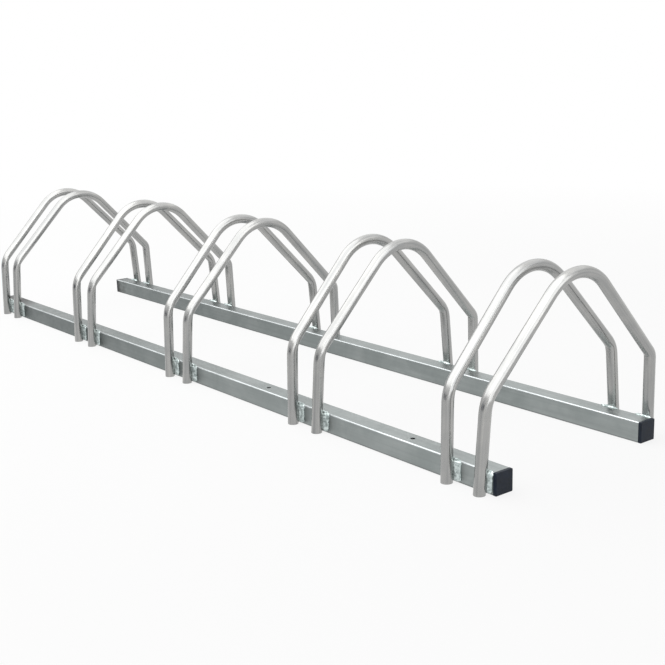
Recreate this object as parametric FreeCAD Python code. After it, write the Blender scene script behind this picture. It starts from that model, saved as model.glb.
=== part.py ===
# Floor bike rack: two square-tube rails, five pairs of bent round-tube hoops,
# plastic end caps and the weld beads that hold the hoops to the rails.
# Millimetres. +Z is up, X runs along the rails, -Y is the front.
# The origin is the centre of the footprint, on the floor.
import FreeCAD
import Part
import math
import os

os.makedirs("parts", exist_ok=True)

V = FreeCAD.Vector
ORIGIN = V(0, 0, 0)
X_AXIS = V(1, 0, 0)
Y_AXIS = V(0, 1, 0)
Z_AXIS = V(0, 0, 1)

# ---------------------------------------------------------------- rails
rail_size = 30.0          # outside width and height of the square tube
rail_wall = 1.5
rail_corner_r = 2.0       # outside corner radius of the square tube
rail_bore_r = 0.8         # inside corner radius
rack_depth = 315.0        # front face of the front rail to rear face of the rear rail

# ---------------------------------------------------------------- pairs of hoops
pair_pitch = (355.0, 355.0, 360.0, 332.0)       # middle of one pair to the next
pair_skew = (8.0, 12.0, 12.0, 12.0, 0.0)        # how far the front stands to the right
pair_gap = 57.0           # tube centre to tube centre, on the floor
left_margin = 27.5        # rail's left end to the first tube's side
right_margin = 5.5        # last tube's side to the rail's right end

# ---------------------------------------------------------------- one hoop
tube_d = 16.0
tube_wall = 1.5
hoop_height = 263.0       # floor to the top of the bend, before the hoop leans
shoulder_height = 120.0   # where the leg's line meets the slope's line
shoulder_bend_r = 50.0    # bend radii on the tube's centre line
tight_bend_r = 18.0       # the rear shoulder of each right hoop is bent tighter
top_bend_r = 72.0
leg_splay = 3.2           # each leg leans outwards towards the floor, degrees
flare = 1.9               # each hoop of a pair leans away from its slot, degrees
leg_seat = 0.2            # gap left between leg and rail for the weld to bridge

# ---------------------------------------------------------------- floor fixing
fix_hole_d = 7.0
fix_hole_pairs = (3, 4)   # one hole stands to the left of each of these pairs
fix_hole_before = 118.0   # pair's middle back to the hole

# ---------------------------------------------------------------- end caps
cap_flange = 5.0          # thickness outside the tube
cap_corner_r = 1.5        # its four long edges
cap_edge_r = 1.2          # rounded edge round the outer face
cap_plug = 14.0           # how far the cap reaches into the tube
cap_fit = 0.2             # clearance to the tube's inner walls, each side
cap_rib_depth = 3.0       # ribs stand this far out from the core
cap_rib = 1.2
cap_rib_count = 3
cap_rib_margin = 0.6      # first rib to the core's inner end
cap_core_wall = 2.0
cap_core_r = 1.0

# ---------------------------------------------------------------- welds
bead_r = 3.0              # radius of a bead at a ripple's crest
bead_groove = 0.45        # how much deeper the valley between ripples is
bead_low = 2.0            # the bead starts this far above the floor
bead_toe = 1.8            # height of its tapered lower end
bead_ripples = 5
bead_side = 0.7           # bead's line beyond the tube's side
bead_out = 1.3            # bead's line in front of the rail's face
bead_tip = 0.9            # radius of the small flat at each end of a bead
blob_r = 3.9              # the run ends in a larger blob on the rail's top edge
blob_height = 7.0
blob_rise = 2.6           # how far the blob stands above the rail's top

# ---------------------------------------------------------------- worked out
tube_r = tube_d / 2.0
face_y = rack_depth / 2.0
rail_y = face_y - rail_size / 2.0
rail_mid_z = rail_size / 2.0
rail_length = left_margin + tube_d + pair_gap + sum(pair_pitch) + right_margin
first_pair_x = -rail_length / 2.0 + left_margin + tube_r + pair_gap / 2.0
pair_x = [first_pair_x + sum(pair_pitch[:i]) for i in range(len(pair_pitch) + 1)]
cut_over = 1.0            # how far a cutting body runs past what it cuts


def export(name, shape):
    shape.exportStep("parts/" + name + ".step")


def rounded_bar(size, corner_r, x0, length, y, z):
    """A bar along X with a square section and rounded long edges."""
    bar = Part.makeBox(length, size, size, V(x0, y - size / 2.0, z - size / 2.0))
    long_edges = []
    for edge in bar.Edges:
        ends = [vertex.Point for vertex in edge.Vertexes]
        if abs(ends[1].y - ends[0].y) < 1e-6 and abs(ends[1].z - ends[0].z) < 1e-6:
            long_edges.append(edge)
    return bar.makeFillet(corner_r, long_edges)


# ---------------------------------------------------------------- rails
def rail_outside(y):
    return rounded_bar(rail_size, rail_corner_r, -rail_length / 2.0, rail_length,
                       y, rail_mid_z)


def rail(y, hole_x):
    """A square tube, with a hole through both walls at each x of hole_x."""
    bore = rounded_bar(rail_size - 2.0 * rail_wall, rail_bore_r,
                       -rail_length / 2.0 - cut_over, rail_length + 2.0 * cut_over,
                       y, rail_mid_z)
    tube = rail_outside(y).cut(bore)
    for x in hole_x:
        drill = Part.makeCylinder(fix_hole_d / 2.0, rail_size + 2.0 * cut_over,
                                  V(x, y, -cut_over))
        tube = tube.cut(drill)
    return tube


front_outside = rail_outside(-rail_y)
rear_outside = rail_outside(rail_y)
export("front_rail", rail(-rail_y, [pair_x[i] - fix_hole_before for i in fix_hole_pairs]))
export("rear_rail", rail(rail_y, []))


# ---------------------------------------------------------------- hoops
# The hoop is drawn in the YZ plane: leg, shoulder bend, slope, top bend, and the
# same again down the other side. A leg touches its rail at the top of the rail's
# flat face. The slope is the line from the shoulder that touches the top bend.
splay = math.tan(math.radians(leg_splay))
seat_z = rail_size - rail_corner_r
leg_y = face_y + tube_r + leg_seat
shoulder_y = leg_y - splay * (shoulder_height - seat_z)
top_centre_z = hoop_height - tube_r - top_bend_r
shoulder_to_centre = math.hypot(shoulder_y, top_centre_z - shoulder_height)
slope = (math.atan2(top_centre_z - shoulder_height, shoulder_y)
         + math.asin(top_bend_r / shoulder_to_centre))
peak_z = shoulder_height + shoulder_y * math.tan(slope)
foot_z = -tube_d          # the legs are drawn this low and cut off at the floor
foot_y = leg_y + splay * (seat_z - foot_z)


def toward(a, b, distance):
    step = b - a
    step.normalize()
    return a + step * distance


def bend(before, corner, after, radius):
    """Start, middle and end of the arc that rounds one corner."""
    half = (before - corner).getAngle(after - corner) / 2.0
    reach = radius / math.tan(half)
    start = toward(corner, before, reach)
    end = toward(corner, after, reach)
    centre = toward(corner, (start + end) * 0.5, radius / math.sin(half))
    return start, toward(centre, corner, radius), end


def hoop_path(rear_bend_r):
    corners = [
        V(0, -foot_y, foot_z),
        V(0, -shoulder_y, shoulder_height),
        V(0, 0, peak_z),
        V(0, shoulder_y, shoulder_height),
        V(0, foot_y, foot_z),
    ]
    radii = (shoulder_bend_r, top_bend_r, rear_bend_r)
    edges = []
    at = corners[0]
    for i, radius in enumerate(radii):
        start, middle, end = bend(corners[i], corners[i + 1], corners[i + 2], radius)
        edges.append(Part.makeLine(at, start))
        edges.append(Part.Arc(start, middle, end).toShape())
        at = end
    edges.append(Part.makeLine(at, corners[-1]))
    return Part.Wire(edges)


def swept(radius, rear_bend_r):
    """The hoop's path with a round section, as a solid."""
    up_the_leg = V(0, foot_y - shoulder_y, shoulder_height - foot_z)
    ring = Part.makeCircle(radius, V(0, -foot_y, foot_z), up_the_leg)
    return hoop_path(rear_bend_r).makePipeShell([Part.Wire([ring])], True, False)


def turn_of(skew):
    return math.atan2(skew, rack_depth)


def place(shape, x, side, skew):
    """Lean the flat hoop away from its slot, turn it by its skew, stand it at x."""
    out = shape.copy()
    out.rotate(ORIGIN, Y_AXIS, side * flare)
    out.rotate(ORIGIN, Z_AXIS, math.degrees(turn_of(skew)))
    out.translate(V(x, 0, 0))
    return out


hoop_sides = (
    (-1, "left", swept(tube_r, shoulder_bend_r), swept(tube_r - tube_wall, shoulder_bend_r)),
    (1, "right", swept(tube_r, tight_bend_r), swept(tube_r - tube_wall, tight_bend_r)),
)
below_floor = Part.makeBox(2.0 * rail_length, 2.0 * rack_depth, 2.0 * tube_d,
                           V(-rail_length, -rack_depth, -2.0 * tube_d))

hoops = []
for pair, middle_x in enumerate(pair_x):
    for side, side_name, flat_outside, flat_bore in hoop_sides:
        x = middle_x + side * pair_gap / 2.0
        outside = place(flat_outside, x, side, pair_skew[pair]).cut(below_floor)
        bore = place(flat_bore, x, side, pair_skew[pair])
        name = str(pair + 1) + "_" + side_name
        export("hoop_" + name, outside.cut(bore))
        hoops.append((name, x, side, pair_skew[pair], outside))


# ---------------------------------------------------------------- welds
# A ripply bead stands in each corner between a leg and the outer face of its
# rail, one on each side of the leg, and ends in a blob on the rail's top edge.
def leg_centre_x(x, side, skew, end, z):
    """Where a leg's centre line is along X at height z. end is -1 front, 1 rear."""
    lean = math.radians(side * flare)
    along_hoop = z / math.cos(lean)
    y = end * (leg_y + splay * (seat_z - along_hoop))
    return x + along_hoop * math.sin(lean) * math.cos(turn_of(skew)) - y * math.sin(turn_of(skew))


def ripple_bar(length):
    """A round bar of ripples with a blob at its top, standing on the origin."""
    valley = bead_r - bead_groove
    step = (length - bead_toe - blob_height) / bead_ripples
    low_tip = V(bead_tip, 0, 0)
    high_tip = V(bead_tip, 0, length)
    toe_bulge = V((bead_tip + valley) / 2.0 + bead_groove, 0, bead_toe / 3.0)
    blob_bulge = V(blob_r, 0, length - blob_height / 2.0)
    edges = [
        Part.makeLine(ORIGIN, low_tip),
        Part.Arc(low_tip, toe_bulge, V(valley, 0, bead_toe)).toShape(),
    ]
    for i in range(bead_ripples):
        z = bead_toe + i * step
        crest = V(bead_r, 0, z + step / 2.0)
        edges.append(Part.Arc(V(valley, 0, z), crest, V(valley, 0, z + step)).toShape())
    blob_start = V(valley, 0, length - blob_height)
    edges.append(Part.Arc(blob_start, blob_bulge, high_tip).toShape())
    edges.append(Part.makeLine(high_tip, V(0, 0, length)))
    edges.append(Part.makeLine(V(0, 0, length), ORIGIN))
    return Part.Face(Part.Wire(edges)).revolve(ORIGIN, Z_AXIS, 360.0)


def bead(x, side, skew, end, hand, leg, rail_body):
    """One bead: hand is -1 for the left side of the leg, 1 for the right."""
    length = rail_size + blob_rise - bead_low
    low_x = leg_centre_x(x, side, skew, end, bead_low)
    high_x = leg_centre_x(x, side, skew, end, bead_low + length)
    bar = ripple_bar(length)
    bar.rotate(ORIGIN, Z_AXIS, 90.0 * end)
    bar.rotate(ORIGIN, Y_AXIS, math.degrees(math.atan2(high_x - low_x, length)))
    bar.translate(V(low_x + hand * (tube_r + bead_side), end * (face_y + bead_out), bead_low))
    return bar.cut(leg).cut(rail_body)


for name, x, side, skew, leg in hoops:
    for end, end_name, rail_body in ((-1, "front", front_outside), (1, "rear", rear_outside)):
        beads = [bead(x, side, skew, end, hand, leg, rail_body) for hand in (-1, 1)]
        export("weld_" + name + "_" + end_name, Part.makeCompound(beads))


# ---------------------------------------------------------------- end caps
cap_rib_size = rail_size - 2.0 * (rail_wall + cap_fit)
cap_core = cap_rib_size - 2.0 * cap_rib_depth
cap_rib_pitch = (cap_plug - cap_rib_margin - cap_rib) / cap_rib_count


def cap(end, y):
    """A flange that covers a rail's end, and a hollow ribbed plug inside the rail."""
    flange = rounded_bar(rail_size, cap_corner_r, 0.0, cap_flange, y, rail_mid_z)
    outer_face = max(flange.Faces, key=lambda face: face.CenterOfMass.x)
    flange = flange.makeFillet(cap_edge_r, outer_face.Edges)
    plug = rounded_bar(cap_core, cap_core_r, -cap_plug, cap_plug + cut_over, y, rail_mid_z)
    hollow = rounded_bar(cap_core - 2.0 * cap_core_wall, cap_core_r / 2.0,
                         -cap_plug - cut_over, cap_plug + 2.0 * cut_over, y, rail_mid_z)
    for i in range(cap_rib_count):
        at = -cap_plug + cap_rib_margin + i * cap_rib_pitch
        rib = rounded_bar(cap_rib_size, rail_bore_r, at, cap_rib, y, rail_mid_z)
        plug = plug.fuse(rib)
    body = flange.fuse(plug).cut(hollow).removeSplitter()
    if end < 0:
        body.rotate(V(0, y, rail_mid_z), Z_AXIS, 180.0)
    body.translate(X_AXIS * (end * rail_length / 2.0))
    return body


for end, end_name in ((-1, "left"), (1, "right")):
    export("cap_front_" + end_name, cap(end, -rail_y))
    export("cap_rear_" + end_name, cap(end, rail_y))
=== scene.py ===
# %% [markdown]
# # A floor bike rack in zinc-plated steel
# Five pairs of bent round-tube hoops are welded to two square rails that lie on the floor. The CAD
# frame gives every size. Here the visible surfaces get the finer shape that bending, cutting and
# welding leave on the real rack, and then the metal and the plastic get their finish.

# %% Load the frame
import bmesh
import bpy
import math
from mathutils import Matrix, Vector, noise


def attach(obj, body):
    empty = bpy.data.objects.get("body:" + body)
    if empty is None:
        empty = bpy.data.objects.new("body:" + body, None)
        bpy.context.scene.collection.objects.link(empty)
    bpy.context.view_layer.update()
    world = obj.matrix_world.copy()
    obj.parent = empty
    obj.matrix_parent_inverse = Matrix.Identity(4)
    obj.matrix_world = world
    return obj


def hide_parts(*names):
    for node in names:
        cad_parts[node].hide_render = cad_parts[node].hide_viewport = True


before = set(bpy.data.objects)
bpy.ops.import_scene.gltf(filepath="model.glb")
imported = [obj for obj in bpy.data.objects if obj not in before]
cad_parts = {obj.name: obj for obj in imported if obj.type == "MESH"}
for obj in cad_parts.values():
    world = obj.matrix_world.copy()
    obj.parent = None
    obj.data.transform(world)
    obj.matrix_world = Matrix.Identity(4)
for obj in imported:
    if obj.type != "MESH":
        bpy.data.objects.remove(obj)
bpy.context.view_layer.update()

print("frame nodes", len(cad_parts))

# %% [markdown]
# ## The camera
# The rack is seen from its right front corner, from about knee height. A wide, short rack needs
# a moderate lens: the near hoops look about twice as tall as the far ones, and the rails run away to
# the left. The place and the turn of the camera were worked out from the rack's own corners, so no
# lens shift is needed.

# %% Camera
CAMERA_PLACE = (1.6299, -1.0828, 0.5122)
CAMERA_PAN, CAMERA_TILT, CAMERA_ROLL = 51.98, 76.53, -1.66
CAMERA_LENS = 59.82

cam_data = bpy.data.cameras.new("rack_camera")
cam_data.sensor_width = 36.0
cam_data.lens = CAMERA_LENS
cam_data.clip_start = 0.01
cam = bpy.data.objects.new("rack_camera", cam_data)
bpy.context.scene.collection.objects.link(cam)
cam.matrix_world = (Matrix.Translation(CAMERA_PLACE)
                    @ Matrix.Rotation(math.radians(CAMERA_PAN), 4, "Z")
                    @ Matrix.Rotation(math.radians(CAMERA_TILT), 4, "X")
                    @ Matrix.Rotation(math.radians(CAMERA_ROLL), 4, "Z"))
bpy.context.scene.camera = cam
print("camera", [round(v, 3) for v in cam.matrix_world.translation], "lens", round(cam_data.lens, 1))

# %% [markdown]
# ## Sizes
# These are the frame's own sizes, in metres, apart from the left hoops' rear shoulders, which are a
# little tighter here. A hoop is one bent tube: a leg that leans in a little, a shoulder bend, a
# straight slope, a wide bend at the top, and the same down the other side. The rear shoulders were
# bent more sharply than the front ones, and those of the right hoops most of all.

# %% Sizes of the rack
MM = 0.001
RAIL = 30 * MM
RAIL_LENGTH = 1508 * MM
RAIL_CORNER = 2 * MM
RACK_DEPTH = 315 * MM
FACE_Y = RACK_DEPTH / 2
RAIL_Y = FACE_Y - RAIL / 2

PAIR_X = [v * MM for v in (-690, -335, 20, 380, 712)]
PAIR_SKEW = [v * MM for v in (8, 12, 12, 12, 0)]
PAIR_GAP = 57 * MM
LEFT, RIGHT = -1, 1
FRONT, REAR = -1, 1

TUBE_R = 8 * MM
TUBE_WALL = 1.5 * MM
HOOP_HEIGHT = 263 * MM
SHOULDER_Z = 120 * MM
SHOULDER_BEND = 50 * MM
REAR_BEND = {LEFT: 38 * MM, RIGHT: 18 * MM}
TOP_BEND = 72 * MM
SPLAY = math.tan(math.radians(3.2))
FLARE = math.radians(1.9)

LEG_GAP = 0.2 * MM
SEAT_Z = RAIL - RAIL_CORNER
LEG_Y = FACE_Y + TUBE_R + LEG_GAP
SHOULDER_Y = LEG_Y - SPLAY * (SHOULDER_Z - SEAT_Z)
FOOT_Z = -16 * MM
FOOT_Y = LEG_Y + SPLAY * (SEAT_Z - FOOT_Z)
TOP_CENTRE_Z = HOOP_HEIGHT - TUBE_R - TOP_BEND
SLOPE = (math.atan2(TOP_CENTRE_Z - SHOULDER_Z, SHOULDER_Y)
         + math.asin(TOP_BEND / math.hypot(SHOULDER_Y, TOP_CENTRE_Z - SHOULDER_Z)))
PEAK_Z = SHOULDER_Z + SHOULDER_Y * math.tan(SLOPE)
print("slope", round(math.degrees(SLOPE), 2), "degrees, peak of the straight lines", round(PEAK_Z, 4))

# %% [markdown]
# ## Helpers
# A finished bmesh becomes an object at the origin that rides on the frame's only body. Faces are
# shaded smooth, and an edge stays crisp where two faces meet at a real corner.

# %% Finish a piece
SHARP_DEGREES = 35
pieces = {}


def finish_piece(bm, name, material, sharp_degrees=SHARP_DEGREES):
    limit = math.radians(sharp_degrees)
    for face in bm.faces:
        face.smooth = True
    for edge in bm.edges:
        edge.smooth = len(edge.link_faces) == 2 and edge.calc_face_angle(0.0) < limit
    mesh = bpy.data.meshes.new(name)
    bm.to_mesh(mesh)
    bm.free()
    mesh.materials.append(material)
    piece = bpy.data.objects.new(name, mesh)
    bpy.context.scene.collection.objects.link(piece)
    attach(piece, "root")
    pieces[name] = piece
    return piece


def verts_of(made):
    return [item for item in made if isinstance(item, bmesh.types.BMVert)]


def edges_of(made):
    return [item for item in made if isinstance(item, bmesh.types.BMEdge)]


print("edges are sharp from", SHARP_DEGREES, "degrees")

# %% [markdown]
# A material is built from a few steps that come back everywhere. The first one fills a socket. The
# next three work on values: arithmetic, moving a value from one range to another, and noise.

# %% Steps on values
def feed(socket, value):
    """Sets a socket to a number or a colour, or links it when the value is another node's output."""
    if isinstance(value, bpy.types.NodeSocket):
        socket.id_data.links.new(value, socket)
    elif isinstance(value, tuple) and len(value) == 3 and socket.type == "RGBA":
        socket.default_value = (*value, 1.0)
    else:
        socket.default_value = value


def calc(nodes, operation, *values):
    node = nodes.new("ShaderNodeMath")
    node.operation = operation
    for socket, value in zip(node.inputs, values):
        feed(socket, value)
    return node.outputs[0]


def ranged(nodes, value, low, high, start=0.0, end=1.0):
    """The value, which runs from start to end, as low to high. It goes no further on either side."""
    node = nodes.new("ShaderNodeMapRange")
    for label, number in (("Value", value), ("From Min", start), ("From Max", end),
                          ("To Min", low), ("To Max", high)):
        feed(node.inputs[label], number)
    return node.outputs["Result"]


def noise_value(nodes, vector, scale, detail, roughness, distortion=0.0):
    node = nodes.new("ShaderNodeTexNoise")
    for label, value in (("Vector", vector), ("Scale", scale), ("Detail", detail),
                         ("Roughness", roughness), ("Distortion", distortion)):
        feed(node.inputs[label], value)
    return node.outputs["Fac"]


print("materials before the first finish", len(bpy.data.materials))

# %% [markdown]
# These work on the surface: laying one colour over another by a mask, and raising it by a value.
# What is the same all over a piece is set on its Principled shader. A Mix node has a set of sockets
# for each kind of data, so the ones for colours are named by their numbers.

# %% Steps on the surface
MIX_UNDER, MIX_OVER, MIX_COLOR = 6, 7, 2


def cover(nodes, under, over, mask, most=1.0):
    """Lays one colour over another. The mask says where, and most says how much at the most."""
    mix = nodes.new("ShaderNodeMix")
    mix.data_type = "RGBA"
    feed(mix.inputs["Factor"], mask if most == 1.0 else ranged(nodes, mask, 0.0, most))
    feed(mix.inputs[MIX_UNDER], under)
    feed(mix.inputs[MIX_OVER], over)
    return mix.outputs[MIX_COLOR]


def bump(nodes, shader, height, distance, strength, after=None):
    """Raises the surface by a value, on top of an earlier bump if there is one."""
    node = nodes.new("ShaderNodeBump")
    for label, value in (("Height", height), ("Distance", distance), ("Strength", strength)):
        feed(node.inputs[label], value)
    if after is not None:
        feed(node.inputs["Normal"], after)
    feed(shader.inputs["Normal"], node.outputs["Normal"])
    return node.outputs["Normal"]


def new_material(name, color, metallic, roughness):
    material = bpy.data.materials.new(name)
    material.use_nodes = True
    nodes = material.node_tree.nodes
    shader = nodes["Principled BSDF"]
    feed(shader.inputs["Base Color"], color)
    feed(shader.inputs["Metallic"], metallic)
    feed(shader.inputs["Roughness"], roughness)
    return material, nodes, shader


def object_place(nodes):
    return nodes.new("ShaderNodeTexCoord").outputs["Object"]


print("mix sockets", MIX_UNDER, MIX_OVER, MIX_COLOR)

# %% [markdown]
# ## Zinc, steel and plastic
# Bright zinc plating isn't one flat grey. The tube was drawn through a die before it was plated, so
# fine streaks run along it. The plating bath adds soft clouds a few centimetres across, and handling
# leaves small marks. Three effects are used by more than one finish, so each is a node group that
# gives out a value: clouds, streaks and specks.

# %% Start a node group
def new_group(name, inputs, outputs):
    """An empty group with a vector input, number inputs and number outputs."""
    group = bpy.data.node_groups.new(name, "ShaderNodeTree")
    group.interface.new_socket("Vector", in_out="INPUT", socket_type="NodeSocketVector")
    for label, kind, value in inputs:
        group.interface.new_socket(label, in_out="INPUT", socket_type=kind).default_value = value
    for label in outputs:
        group.interface.new_socket(label, in_out="OUTPUT", socket_type="NodeSocketFloat")
    source = group.nodes.new("NodeGroupInput")
    result = group.nodes.new("NodeGroupOutput")
    return group, source.outputs, result.inputs


def place_group(nodes, group, vector, **values):
    """Puts a group into a material with its own values, and gives back its outputs."""
    node = nodes.new("ShaderNodeGroup")
    node.node_tree = group
    feed(node.inputs["Vector"], vector)
    for label, value in values.items():
        feed(node.inputs[label], value)
    return node.outputs


print("groups before the first", len(bpy.data.node_groups))

# %% Clouds
def cloud_group():
    """Soft clouds with finer ones inside them."""
    group, source, result = new_group("zinc_clouds", [("Scale", "NodeSocketFloat", 20.0)], ["Clouds"])
    wide = noise_value(group.nodes, source["Vector"], source["Scale"],
                       detail=3.0, roughness=0.55, distortion=0.4)
    clouds = ranged(group.nodes, wide, 0.0, 1.0, start=0.34, end=0.66)
    clouds.node.interpolation_type = "SMOOTHSTEP"
    feed(result["Clouds"], clouds)
    return group


CLOUDS = cloud_group()
print("group", CLOUDS.name, len(CLOUDS.nodes), "nodes")

# %% Streaks
def streak_group():
    """Long fine lines: the vector is squeezed along the tube before the noise reads it."""
    group, source, result = new_group("drawn_streaks", [("Squeeze", "NodeSocketVector", (1.0, 1.0, 0.03)),
                                                        ("Scale", "NodeSocketFloat", 600.0)],
                                      ["Streaks", "Fine"])
    squeeze = group.nodes.new("ShaderNodeVectorMath")
    squeeze.operation = "MULTIPLY"
    feed(squeeze.inputs[0], source["Vector"])
    feed(squeeze.inputs[1], source["Squeeze"])
    for label, factor, low, high in (("Streaks", 0.3, 0.36, 0.64), ("Fine", 1.0, 0.3, 0.7)):
        scale = calc(group.nodes, "MULTIPLY", source["Scale"], factor)
        lines = noise_value(group.nodes, squeeze.outputs["Vector"], scale, detail=4.0, roughness=0.6)
        feed(result[label], ranged(group.nodes, lines, 0.0, 1.0, start=low, end=high))
    return group


STREAKS = streak_group()
print("group", STREAKS.name, len(STREAKS.nodes), "nodes")

# %% Specks
def speck_group():
    """Small scattered marks: a cell pattern that only shows near each cell's middle."""
    group, source, result = new_group("specks", [("Scale", "NodeSocketFloat", 120.0),
                                                 ("Size", "NodeSocketFloat", 0.2)], ["Specks"])
    cells = group.nodes.new("ShaderNodeTexVoronoi")
    feed(cells.inputs["Randomness"], 1.0)
    feed(cells.inputs["Vector"], source["Vector"])
    feed(cells.inputs["Scale"], source["Scale"])
    near = ranged(group.nodes, cells.outputs["Distance"], 1.0, 0.0, start=0.0, end=source["Size"])
    feed(result["Specks"], near)
    return group


SPECKS = speck_group()
print("group", SPECKS.name, len(SPECKS.nodes), "nodes")

# %% [markdown]
# ### Plated tube
# The hoops carry their own attribute, flow, which unrolls the bent tube: two numbers go round it and
# the third runs along it. So the drawing streaks follow every bend.

# %% Tube finish
TUBE_GREY = (0.34, 0.345, 0.335)
TUBE_CLOUDS = (0.35, 0.352, 0.343), (0.42, 0.416, 0.40)
TUBE_BAND = (0.23, 0.236, 0.242)
TUBE_STREAK = (0.50, 0.50, 0.49)


def tube_material():
    material, nodes, shader = new_material("zinc_tube", TUBE_GREY, metallic=1.0, roughness=0.25)
    flow = nodes.new("ShaderNodeAttribute")
    flow.attribute_name = "flow"
    vector = flow.outputs["Vector"]
    streaks = place_group(nodes, STREAKS, vector, Squeeze=(1.0, 1.0, 0.02), Scale=700.0)
    bands = place_group(nodes, STREAKS, vector, Squeeze=(1.0, 1.0, 0.012), Scale=330.0)
    clouds = place_group(nodes, CLOUDS, vector, Scale=26.0)["Clouds"]
    dull = place_group(nodes, CLOUDS, vector, Scale=90.0)["Clouds"]
    cloudy = cover(nodes, *TUBE_CLOUDS, clouds)
    banded = cover(nodes, cloudy, TUBE_BAND, bands["Fine"], most=0.75)
    feed(shader.inputs["Base Color"], cover(nodes, banded, TUBE_STREAK, streaks["Streaks"], most=0.35))
    feed(shader.inputs["Roughness"], ranged(nodes, dull, 0.21, 0.28))
    drawn = bump(nodes, shader, streaks["Fine"], distance=0.008 * MM, strength=0.35)
    bump(nodes, shader, clouds, distance=0.2 * MM, strength=0.2, after=drawn)
    return material


TUBE = tube_material()
print(TUBE.name, len(TUBE.node_tree.nodes), "nodes")

# %% [markdown]
# ### Plated rail
# The square tube is duller than the round one and a little green. Its streaks run along X, and two
# clouds of different size give soft patches. Four marks of painted light lie on top: painted shade
# along the bottom edge where it stands on the floor, painted shade that grows towards the left and is
# stronger on the front faces, a painted dark reflection at the left ends, mostly on the tops, and a
# painted highlight along the upper edges. Each is a mask made from X, Y or Z.

# %% Where the rail differs
BORDER_WANDER = 30 * MM
EDGE_WIDTH = 0.5 * MM
FACE_MARGIN = 0.6 * MM
# Heights of the painted shade along the rail's bottom edge.
BOTTOM_SHADE_FULL_Z, BOTTOM_SHADE_NONE_Z, BOTTOM_SHADE_MOST = 0.8 * MM, 3.2 * MM, 0.75


def along_x(nodes, parts, clouds, full, none, most, lean=0.0):
    """A mask that is most at X = full and fades to 0 at X = none, with a cloudy border. With lean,
    the border runs askew: it lies further to the right on the front rail than on the rear one."""
    askew = calc(nodes, "ADD", parts["X"], calc(nodes, "MULTIPLY", parts["Y"], lean))
    return ranged(nodes, calc(nodes, "MULTIPLY_ADD", clouds, BORDER_WANDER, askew), most, 0.0, full, none)


def edge_highlight_mask(nodes, parts):
    """The painted highlight's mask: 1 on a rail's two upper edges, where the distances out and up from
    its middle line are large.
    """
    from_middle = calc(nodes, "ABSOLUTE", parts["Y"])
    sideways = calc(nodes, "ABSOLUTE", calc(nodes, "SUBTRACT", from_middle, RAIL_Y))
    upward = calc(nodes, "SUBTRACT", parts["Z"], RAIL / 2)
    reach = calc(nodes, "ADD", sideways, upward)
    return ranged(nodes, reach, 0.0, 1.0, RAIL - RAIL_CORNER, RAIL - RAIL_CORNER + EDGE_WIDTH)


print("edges rubbed from", round(RAIL - RAIL_CORNER, 4), "m out and up")

# %% Rail finish
RAIL_GREY = (0.30, 0.325, 0.32)
RAIL_PATCHES = (0.27, 0.298, 0.293), (0.335, 0.362, 0.357)
RAIL_STREAK = (0.235, 0.255, 0.255)
RAIL_SPECK = (0.45, 0.47, 0.465)
# The next four colours are painted light: painted shade at the bottom edge, painted shade towards the
# left, a painted dark reflection at the left ends, and a painted highlight on the upper edges.
BOTTOM_SHADE = (0.09, 0.095, 0.095)
LEFTWARD_SHADE = (0.085, 0.10, 0.10)
LEFT_END_REFLECTION = (0.022, 0.021, 0.02)
EDGE_HIGHLIGHT = (0.62, 0.65, 0.66)


def rail_material():
    material, nodes, shader = new_material("zinc_rail", RAIL_GREY, metallic=1.0, roughness=0.38)
    vector = object_place(nodes)
    streaks = place_group(nodes, STREAKS, vector, Squeeze=(0.02, 1.0, 1.0), Scale=650.0)
    patches = place_group(nodes, CLOUDS, vector, Scale=14.0)["Clouds"]
    clouds = place_group(nodes, CLOUDS, vector, Scale=55.0)["Clouds"]
    specks = place_group(nodes, SPECKS, vector, Scale=90.0, Size=0.12)["Specks"]
    split = nodes.new("ShaderNodeSeparateXYZ")
    feed(split.inputs["Vector"], vector)
    parts = split.outputs

    color = cover(nodes, *RAIL_PATCHES, patches)
    color = cover(nodes, color, RAIL_STREAK, streaks["Streaks"], most=0.4)
    color = cover(nodes, color, RAIL_SPECK, specks, most=0.25)
    # Painted shade: the colour darkens along the bottom edge, where the rail stands on the floor.
    bottom_shade = ranged(nodes, parts["Z"], BOTTOM_SHADE_MOST, 0.0, start=BOTTOM_SHADE_FULL_Z, end=BOTTOM_SHADE_NONE_Z)
    color = cover(nodes, color, BOTTOM_SHADE, bottom_shade)

    front_face = calc(nodes, "LESS_THAN", parts["Y"], FACE_MARGIN - FACE_Y)
    # Painted shade: darker towards the left, and 1.6 times as strong on the front faces as on the tops.
    leftward = along_x(nodes, parts, clouds, full=-0.35, none=0.30, most=0.42)
    left_shade = calc(nodes, "MULTIPLY", leftward, ranged(nodes, front_face, 1.0, 1.6))
    color = cover(nodes, color, LEFTWARD_SHADE, left_shade)
    # Painted dark reflection at the left ends, mostly on the tops: the front faces get only 0.15 of it.
    left_end = along_x(nodes, parts, clouds, full=-0.70, none=-0.66, most=0.88, lean=0.333)
    end_reflection = calc(nodes, "MULTIPLY", left_end, ranged(nodes, front_face, 1.0, 0.15))
    color = cover(nodes, color, LEFT_END_REFLECTION, end_reflection)
    # Painted highlight along the two upper edges, varied a little by the patches.
    highlit = calc(nodes, "MULTIPLY", edge_highlight_mask(nodes, parts), ranged(nodes, patches, 0.6, 0.9))
    color = cover(nodes, color, EDGE_HIGHLIGHT, highlit)

    feed(shader.inputs["Base Color"], color)
    feed(shader.inputs["Roughness"], ranged(nodes, clouds, 0.32, 0.44))
    drawn = bump(nodes, shader, streaks["Fine"], distance=0.01 * MM, strength=0.4)
    bump(nodes, shader, patches, distance=0.4 * MM, strength=0.3, after=drawn)
    return material


RAIL_FINISH = rail_material()
print(RAIL_FINISH.name, len(RAIL_FINISH.node_tree.nodes), "nodes")

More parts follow.
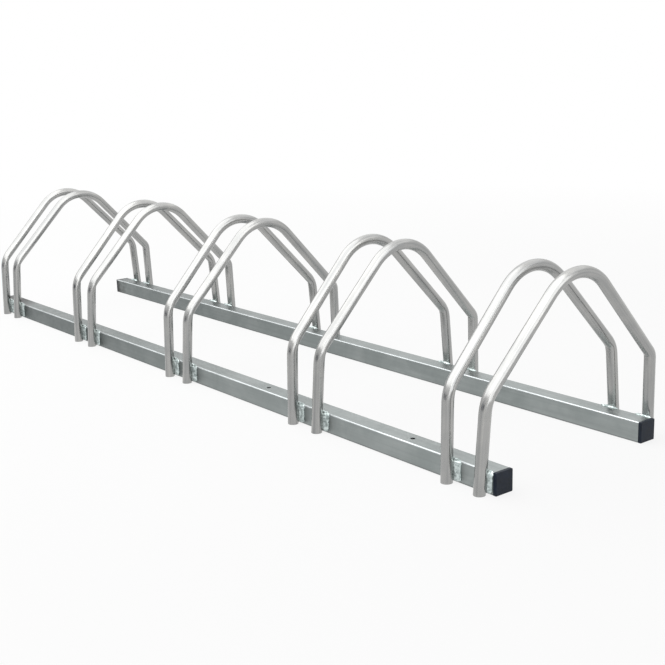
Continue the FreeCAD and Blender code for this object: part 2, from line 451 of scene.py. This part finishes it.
# %% [markdown]
# ### Weld metal
# A weld bead froze from liquid steel and was plated with the rest. It is paler than the tube and
# slightly green, its clouds are small, and it has dark pits where slag sat.

# %% Weld finish
WELD_PALE = (0.55, 0.61, 0.60)
WELD_CLOUDS = (0.30, 0.345, 0.34), (0.66, 0.735, 0.725)
WELD_PIT = (0.12, 0.14, 0.14)


def weld_material():
    material, nodes, shader = new_material("zinc_weld", WELD_PALE, metallic=1.0, roughness=0.34)
    vector = object_place(nodes)
    clouds = place_group(nodes, CLOUDS, vector, Scale=170.0)["Clouds"]
    pits = place_group(nodes, SPECKS, vector, Scale=230.0, Size=0.22)["Specks"]
    cloudy = cover(nodes, *WELD_CLOUDS, clouds)
    feed(shader.inputs["Base Color"], cover(nodes, cloudy, WELD_PIT, pits, most=0.7))
    feed(shader.inputs["Roughness"], ranged(nodes, clouds, 0.5, 0.28))
    bump(nodes, shader, clouds, distance=0.5 * MM, strength=0.35)
    return material


WELD = weld_material()
print(WELD.name, len(WELD.node_tree.nodes), "nodes")

# %% [markdown]
# ### Moulded cap
# The caps are nearly black with a trace of blue. The mould leaves a fine grain, which keeps the
# highlights soft, and handling leaves a few paler scuffs.

# %% Cap finish
CAP_BLACK = (0.007, 0.012, 0.02)
CAP_CLOUDS = (0.003, 0.0085, 0.0185), (0.009, 0.0165, 0.032)
CAP_SCUFF = (0.05, 0.055, 0.065)


def cap_material():
    material, nodes, shader = new_material("cap_plastic", CAP_BLACK, metallic=0.0, roughness=0.42)
    feed(shader.inputs["Specular IOR Level"], 0.2)
    vector = object_place(nodes)
    grain = place_group(nodes, CLOUDS, vector, Scale=1500.0)["Clouds"]
    scuffs = place_group(nodes, STREAKS, vector, Squeeze=(1.0, 0.25, 1.0), Scale=500.0)["Fine"]
    clouds = place_group(nodes, CLOUDS, vector, Scale=130.0)["Clouds"]
    cloudy = cover(nodes, *CAP_CLOUDS, clouds)
    feed(shader.inputs["Base Color"], cover(nodes, cloudy, CAP_SCUFF, scuffs, most=0.12))
    feed(shader.inputs["Roughness"], ranged(nodes, clouds, 0.36, 0.5))
    bump(nodes, shader, grain, distance=0.08 * MM, strength=0.6)
    return material


CAP = cap_material()
print("finishes", [material.name for material in (TUBE, RAIL_FINISH, WELD, CAP)])

# %% [markdown]
# ## The hoops
# A tube bender makes each hoop from one straight tube. The same is done here: a circle is extruded
# along the straight runs and turned step by step round each bend. At a shoulder the real tube gives
# way on the inside of the bend and goes a little flat and wide, so each ring there is pressed in on
# its inner side. The flow attribute is written ring by ring on the way.

# %% The path of one hoop
SHOULDER_TURNS = 16
TOP_TURNS = 30


def toward(start, goal, distance):
    return start + (goal - start).normalized() * distance


def path_steps(rear_bend):
    """The hoop's corners in its own plane, and its runs and bends as (kind, values)."""
    corners = [Vector((0, -FOOT_Y, FOOT_Z)), Vector((0, -SHOULDER_Y, SHOULDER_Z)), Vector((0, 0, PEAK_Z)),
               Vector((0, SHOULDER_Y, SHOULDER_Z)), Vector((0, FOOT_Y, FOOT_Z))]
    bends = ((SHOULDER_BEND, SHOULDER_TURNS), (TOP_BEND, TOP_TURNS), (rear_bend, SHOULDER_TURNS))
    steps = []
    at = corners[0]
    for i, (radius, turns) in enumerate(bends):
        before, corner, after = corners[i:i + 3]
        half = (before - corner).angle(after - corner) / 2
        start = toward(corner, before, radius / math.tan(half))
        middle = (toward(corner, before, 1.0) + toward(corner, after, 1.0)) / 2
        centre = toward(corner, middle, radius / math.sin(half))
        is_shoulder = i != 1
        steps.append(("run", start - at))
        steps.append(("bend", (centre, radius, math.pi - 2 * half, turns, is_shoulder)))
        at = toward(corner, after, radius / math.tan(half))
    steps.append(("run", corners[-1] - at))
    return corners, steps


print("one hoop takes", len(path_steps(SHOULDER_BEND)[1]), "runs and bends")

# %% Bend one tube
SEGMENTS = 64
PRESS_FALLOFF = 1.4
WIDENING = 0.2


def press_ring(verts, centre, radius, angle, share):
    """Lets a ring's inner side give way, as far as the corner of the two straight inner lines."""
    from_start = angle * min(share, 1 - share)
    amount = (radius - TUBE_R) * (1 / math.cos(from_start) - 1)
    for vert in verts:
        out = Vector((0, vert.co.y - centre.y, vert.co.z - centre.z))
        depth = (out.length - radius) / TUBE_R
        inner = max(0.0, -depth)
        vert.co += out.normalized() * amount * inner ** PRESS_FALLOFF
        vert.co.x += math.copysign(amount * WIDENING * (1 - depth * depth), vert.co.x)


def next_ring(bm, flow, ring, along):
    """Extrudes the ring's own edges, and writes how far along the tube the new ring is."""
    inside = set(ring)
    edges = {edge for vert in ring for edge in vert.link_edges if edge.other_vert(vert) in inside}
    new = verts_of(bmesh.ops.extrude_edge_only(bm, edges=list(edges))["geom"])
    for vert in new:
        vert[flow] = (vert[flow][0], vert[flow][1], along)
    return new


def bent_tube(offset, rear_bend):
    """A hoop in its own plane. Its flow attribute starts at offset, so that no two look alike."""
    bm = bmesh.new()
    flow = bm.verts.layers.float_vector.new("flow")
    corners, steps = path_steps(rear_bend)
    lean = (corners[1] - corners[0]).to_track_quat("Z", "X").to_matrix()
    ring = bmesh.ops.create_circle(bm, segments=SEGMENTS, radius=TUBE_R)["verts"]
    for vert in ring:
        vert[flow] = (vert.co.x, vert.co.y, offset)
    bmesh.ops.rotate(bm, verts=ring, cent=(0, 0, 0), matrix=lean)
    bmesh.ops.translate(bm, verts=ring, vec=corners[0])
    along = offset
    for kind, values in steps:
        if kind == "run":
            along += values.length
            ring = next_ring(bm, flow, ring, along)
            bmesh.ops.translate(bm, verts=ring, vec=values)
            continue
        centre, radius, angle, turns, is_shoulder = values
        turn = Matrix.Rotation(-angle / turns, 3, "X")
        rings = []
        for _ in range(turns):
            along += radius * angle / turns
            ring = next_ring(bm, flow, ring, along)
            bmesh.ops.rotate(bm, verts=ring, cent=centre, matrix=turn)
            rings.append(ring)
        if is_shoulder:
            for i, bent in enumerate(rings[:-1]):
                press_ring(bent, centre, radius, angle, (i + 1) / turns)
    return bm


trial = bent_tube(0.0, SHOULDER_BEND)
print("one hoop", len(trial.verts), "vertices, top at", round(max(v.co.z for v in trial.verts), 4))
trial.free()

# %% [markdown]
# ### Stand it up and cut it
# Each hoop of a pair leans away from its slot, and a pair stands slightly askew. The legs were cut
# level with the floor, so the tube is cut there by a plane. The cut shows the wall and the bore: the
# rim is drawn in by one wall thickness, run up the inside and closed, and its edges are broken.

# %% Place and cut the hoops
BORE_DEPTH = 30 * MM
EDGE_BREAK = 0.35 * MM
FLOW_SHIFT = 3.7


def placement(x, side, skew):
    return (Matrix.Translation((x, 0, 0)) @ Matrix.Rotation(math.atan2(skew, RACK_DEPTH), 4, "Z")
            @ Matrix.Rotation(side * FLARE, 4, "Y"))


def open_edges(bm):
    return [edge for edge in bm.edges if edge.is_boundary]


def open_ends(bm):
    """Gives both cut ends their wall and bore."""
    rim = open_edges(bm)
    made = bmesh.ops.extrude_edge_only(bm, edges=rim)["geom"]
    share = 1 - TUBE_WALL / TUBE_R
    for end in (FRONT, REAR):
        loop = [vert for vert in verts_of(made) if vert.co.y * end > 0]
        middle = sum((vert.co for vert in loop), Vector()) / len(loop)
        bmesh.ops.scale(bm, verts=loop, vec=(share, share, 1), space=Matrix.Translation(-middle))
    bore_edges = [edge for edge in edges_of(made) if edge.is_boundary]
    made = bmesh.ops.extrude_edge_only(bm, edges=bore_edges)["geom"]
    for vert in verts_of(made):
        vert.co += Vector((0, -math.copysign(SPLAY, vert.co.y), 1)) * BORE_DEPTH
    bmesh.ops.holes_fill(bm, edges=open_edges(bm), sides=0)
    bmesh.ops.bevel(bm, geom=rim + bore_edges, offset=EDGE_BREAK, segments=2, profile=0.5,
                    affect="EDGES", material=-1)
    bmesh.ops.recalc_face_normals(bm, faces=bm.faces)


hoops = []
for pair, middle_x in enumerate(PAIR_X):
    for side, side_name in ((LEFT, "left"), (RIGHT, "right")):
        x = middle_x + side * PAIR_GAP / 2
        name = str(pair + 1) + "_" + side_name
        bm = bent_tube(len(hoops) * FLOW_SHIFT, REAR_BEND[side])
        bmesh.ops.transform(bm, matrix=placement(x, side, PAIR_SKEW[pair]), verts=bm.verts)
        bmesh.ops.bisect_plane(bm, geom=bm.verts[:] + bm.edges[:] + bm.faces[:], plane_co=(0, 0, 0),
                               plane_no=(0, 0, -1), clear_outer=True)
        open_ends(bm)
        piece = finish_piece(bm, "tube_" + name, TUBE)
        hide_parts("hoop_" + name)
        hoops.append((name, x, side, PAIR_SKEW[pair]))
print("hoops", len(hoops))

# %% [markdown]
# ## The welds
# The welder ran a bead up each corner between a leg and the rail's face and stopped on the rail's
# top edge, where the metal piled up. A shorter bead crosses behind the leg along that edge. A bead
# is a row of frozen ripples, so a small circle is carried along and swells and shrinks on its way,
# with a little noise so that no two are alike.

# %% How a bead swells
BEAD_BODY = 3.5 * MM
BEAD_RIPPLE = 0.35 * MM
BEAD_BLOB = 0.9 * MM
RIPPLES = 5.0
BLOB_AT, BLOB_WIDTH = 0.84, 0.10
TOE_SHARE, CROWN_SHARE = 0.10, 0.12
THINNEST = 0.12


def leg_centre_x(x, side, skew, end, z):
    """Where a leg's centre is along X at height z."""
    turn = math.atan2(skew, RACK_DEPTH)
    along = z / math.cos(FLARE)
    y = end * (LEG_Y + SPLAY * (SEAT_Z - along))
    return x + along * math.sin(side * FLARE) * math.cos(turn) - y * math.sin(turn)


def bead_radius(share, seed):
    """Thin at both ends, softly rippled between them, and widest just below the top."""
    ripple = abs(math.sin(share * RIPPLES * math.pi + seed))
    body = BEAD_BODY + BEAD_RIPPLE * ripple
    blob = BEAD_BLOB * math.exp(-((share - BLOB_AT) / BLOB_WIDTH) ** 2)
    toe = min(1.0, share / TOE_SHARE) ** 0.5
    crown = min(1.0, (1.0 - share) / CROWN_SHARE) ** 0.5
    return (body + blob) * max(THINNEST, toe) * max(THINNEST, crown)


print("widest bead", round(max(bead_radius(k / 100, 0.0) for k in range(101)) / MM, 2), "mm in radius")

# %% Carry a circle along a bead
BEAD_SEGMENTS = 26
BEAD_ROUGHNESS = 0.12


def carried_ring(bm, centres, radii, form, seed):
    """Carries a small circle from centre to centre, shaped by form, and closes both ends."""
    ring = bmesh.ops.create_circle(bm, segments=BEAD_SEGMENTS, radius=1.0)["verts"]
    shape = [vert.co.copy() for vert in ring]
    rings = [list(ring)]
    edges = list({edge for vert in ring for edge in vert.link_edges})
    for _ in centres[1:]:
        made = bmesh.ops.extrude_edge_only(bm, edges=edges)["geom"]
        ring = verts_of(made)
        edges = [edge for edge in edges_of(made) if all(vert in ring for vert in edge.verts)]
        rings.append(ring)
    for k, ring in enumerate(rings):
        for vert, unit in zip(ring, shape):
            spot = Vector((unit.x * 1.3, unit.y * 1.3, k * 0.12 + seed * 3.0))
            rough = 1.0 + BEAD_ROUGHNESS * noise.noise(spot)
            vert.co = centres[k] + form(unit) * radii[k] * rough
    bmesh.ops.holes_fill(bm, edges=open_edges(bm), sides=0)


print("circle of", BEAD_SEGMENTS, "segments")

# %% The two kinds of bead
BEAD_LOW = 2 * MM
BEAD_TOP = RAIL + 1.8 * MM
BEAD_STEPS = 44
BEAD_OUT = 0.6 * MM
BEAD_WANDER = 0.5 * MM
LEAN_IN = 2.2 * MM
LEAN_FROM = 0.72
THICKNESS, MORE_BY_LEG, LESS_OUTWARD = 0.8, 0.9, 0.45

CROSS_STEPS = 20
CROSS_PAST_LEG = 1 * MM
CROSS_IN, CROSS_DOWN = 0.9 * MM, 0.6 * MM
CROSS_BODY, CROSS_RIPPLE = 2.3 * MM, 0.4 * MM
CROSS_RIPPLES = 4
CROSS_TAPER = 9


def side_bead(bm, x, side, skew, end, hand, seed, spread, reach):
    """Up one corner beside the leg: high against the leg, and thin where it meets the rail's face."""
    centres, radii = [], []
    for k in range(BEAD_STEPS + 1):
        share = k / BEAD_STEPS
        z = BEAD_LOW + share * (BEAD_TOP - BEAD_LOW)
        wander = noise.noise(Vector((seed * 5.1, share * 3.0, 0.3))) * BEAD_WANDER
        inward = LEAN_IN * max(0.0, share - LEAN_FROM) / (1 - LEAN_FROM)
        beside_leg = leg_centre_x(x, side, skew, end, z) + hand * (TUBE_R + reach)
        centres.append(Vector((beside_leg + wander, end * (FACE_Y + BEAD_OUT - inward), z)))
        radii.append(bead_radius(share, seed))

    def form(unit):
        toward_leg = max(0.0, -hand * unit.x)
        outward = max(0.0, hand * unit.x)
        thickness = THICKNESS + MORE_BY_LEG * toward_leg - LESS_OUTWARD * outward
        return Vector((unit.x * spread, unit.y * thickness, 0))

    carried_ring(bm, centres, radii, form, seed)


def cross_bead(bm, x, side, skew, end, seed):
    """Along the rail's top edge, behind the leg, from one side bead to the other."""
    middle = leg_centre_x(x, side, skew, end, RAIL)
    centres, radii = [], []
    for k in range(CROSS_STEPS + 1):
        share = k / CROSS_STEPS
        centres.append(Vector((middle + (share - 0.5) * 2 * (TUBE_R + CROSS_PAST_LEG),
                               end * (FACE_Y - CROSS_IN), RAIL - CROSS_DOWN)))
        swell = CROSS_BODY + CROSS_RIPPLE * abs(math.sin(share * CROSS_RIPPLES * math.pi + seed))
        taper = min(1.0, CROSS_TAPER * share, CROSS_TAPER * (1 - share)) ** 0.5
        radii.append(swell * max(THINNEST, taper))
    carried_ring(bm, centres, radii, lambda unit: Vector((0, unit.y, unit.x)), seed)


print("beads of", BEAD_STEPS + 1, "and", CROSS_STEPS + 1, "rings")

# %% [markdown]
# A bead spreads over the rail's face. The one beside a cap has little room, so it stays narrow and
# close to its leg. The seed only has to differ from bead to bead, and it follows from the place.

# %% Weld every leg
CAP_ROOM = 20 * MM
NARROW_BEAD = 0.95, 0.6 * MM
WIDE_BEAD = 1.75, 2.0 * MM


def seed_for(number):
    return number % 6.0


for name, x, side, skew in hoops:
    for end, end_name in ((FRONT, "front"), (REAR, "rear")):
        bm = bmesh.new()
        for hand in (LEFT, RIGHT):
            by_the_cap = RAIL_LENGTH / 2 - hand * x < CAP_ROOM
            spread, reach = NARROW_BEAD if by_the_cap else WIDE_BEAD
            seed = seed_for(x * 37.0 + end * 3.1 + hand * 1.7)
            side_bead(bm, x, side, skew, end, hand, seed, spread, reach)
        cross_bead(bm, x, side, skew, end, seed_for(x * 23.0 + end))
        bmesh.ops.recalc_face_normals(bm, faces=bm.faces)
        piece = finish_piece(bm, "bead_" + name + "_" + end_name, WELD, sharp_degrees=70)
        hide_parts("weld_" + name + "_" + end_name)
print("weld pieces", len([name for name in pieces if name.startswith("bead_")]))

# %% [markdown]
# ## Rails and caps
# The rails and caps keep their CAD shape, because it is already the real one. Only their finish is
# new.

# %% Finish for the nodes that stay
kept = []
for name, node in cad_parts.items():
    if name.endswith("_rail") or name.startswith("cap_"):
        node.data.materials.clear()
        node.data.materials.append(RAIL_FINISH if name.endswith("_rail") else CAP)
        kept.append(name)
print("kept nodes", kept)

# %% [markdown]
# ## Floor, world and light
# The photograph's background is white. The floor and the world show as white to the camera, and to
# reflections too, so that the metal mirrors the same room. To plain light they are dimmer: the floor
# takes the rack's soft shadow, and gives it up further out, where floor and world meet without a line.

# %% Floor
GLOW_NEAR = 0.86
GLOW_STARTS, GLOW_FULL = 0.9, 3.0
FLOOR_SIZE = 60
FLOOR_DROP = 0.4 * MM
FLOOR_WHITE = (0.9, 0.9, 0.9)


def seen_directly(nodes):
    """1 for what the camera, a reflection or a see-through ray meets, and 0 for plain light."""
    rays = nodes.new("ShaderNodeLightPath").outputs
    seen = calc(nodes, "MAXIMUM", rays["Is Camera Ray"], rays["Is Glossy Ray"])
    return calc(nodes, "MAXIMUM", seen, rays["Is Transmission Ray"])


def floor_material():
    material, nodes, shader = new_material("floor_white", FLOOR_WHITE, metallic=0.0, roughness=0.9)
    away = nodes.new("ShaderNodeVectorMath")
    away.operation = "LENGTH"
    feed(away.inputs[0], object_place(nodes))
    glow_share = ranged(nodes, away.outputs["Value"], GLOW_NEAR, 1.0, GLOW_STARTS, GLOW_FULL)
    glow = nodes.new("ShaderNodeEmission")
    mix = nodes.new("ShaderNodeMixShader")
    feed(mix.inputs[0], calc(nodes, "MULTIPLY", seen_directly(nodes), glow_share))
    feed(mix.inputs[1], shader.outputs[0])
    feed(mix.inputs[2], glow.outputs[0])
    feed(nodes["Material Output"].inputs["Surface"], mix.outputs[0])
    return material


def stage_plane(name, size_x, size_y, place, material):
    bm = bmesh.new()
    bmesh.ops.create_grid(bm, x_segments=1, y_segments=1, size=0.5)
    bmesh.ops.scale(bm, vec=(size_x, size_y, 1), verts=bm.verts)
    bmesh.ops.transform(bm, matrix=place, verts=bm.verts)
    mesh = bpy.data.meshes.new(name)
    bm.to_mesh(mesh)
    bm.free()
    mesh.materials.append(material)
    plane = bpy.data.objects.new(name, mesh)
    bpy.context.scene.collection.objects.link(plane)
    return plane


floor = stage_plane("floor", FLOOR_SIZE, FLOOR_SIZE, Matrix.Translation((0, 0, -FLOOR_DROP)),
                    floor_material())
print("floor", floor.dimensions[:2])

# %% World
PLAIN_LEVEL = 0.4

world = bpy.data.worlds.new("white_room")
bpy.context.scene.world = world
world.use_nodes = True
background = world.node_tree.nodes["Background"]
feed(background.inputs["Color"], (1.0, 1.0, 1.0))
feed(background.inputs["Strength"],
     ranged(world.node_tree.nodes, seen_directly(world.node_tree.nodes), PLAIN_LEVEL, 1.0))
print("world", world.name)

# %% [markdown]
# Bare metal in an all-white room would look flat. So one softbox lights the rack at a plain level,
# three more are only mirrored in the metal, and a dark card at the front gives each shoulder its
# dark patch. The camera sees none of them.

# %% Lamps and cards
def softbox(name, size_x, size_y, place, target, radiance):
    """An area lamp whose surface is as bright as radiance, where white paper is about 1."""
    data = bpy.data.lights.new(name, "AREA")
    data.shape = "RECTANGLE"
    data.size = size_x
    data.size_y = size_y
    data.energy = radiance * math.pi * size_x * size_y
    lamp = bpy.data.objects.new(name, data)
    lamp.rotation_euler = (Vector(target) - Vector(place)).to_track_quat("-Z", "Y").to_euler()
    lamp.location = place
    lamp.visible_camera = False
    bpy.context.scene.collection.objects.link(lamp)
    return lamp


def dark_card(name, width, height, place, target, color):
    material = new_material(name + "_paint", color, metallic=0.0, roughness=1.0)[0]
    turn = (Vector(target) - Vector(place)).to_track_quat("Z", "Y").to_matrix().to_4x4()
    card = stage_plane(name, width, height, Matrix.Translation(place) @ turn, material)
    card.visible_camera = False


CARD_PAINT = (0.09, 0.10, 0.14)

top = softbox("top_softbox", 5.0, 3.4, place=(-1.2, -1.3, 2.5), target=(0.0, 0.0, 0.1), radiance=1.6)
top.visible_glossy = False
for name, size_x, size_y, place, target, radiance in (
        ("mirrored_ceiling", 8.0, 4.6, (-0.6, -1.6, 2.6), (-0.6, -1.6, 0.0), 1.8),
        ("mirrored_side", 5.0, 2.8, (3.6, -0.4, 1.75), (0.0, -0.4, 1.75), 1.7),
        ("mirrored_back", 8.0, 3.0, (-0.6, 2.3, 2.6), (-0.6, 2.3, 0.0), 0.5)):
    lamp = softbox(name, size_x, size_y, place, target, radiance)
    lamp.visible_diffuse = False
dark_card("card_front", 3.6, 0.5, place=(-0.5, -2.6, 0.42), target=(-0.5, 0.0, 0.12), color=CARD_PAINT)

# %% Plain colour handling
bpy.context.scene.view_settings.view_transform = "Standard"
print("view transform", bpy.context.scene.view_settings.view_transform)
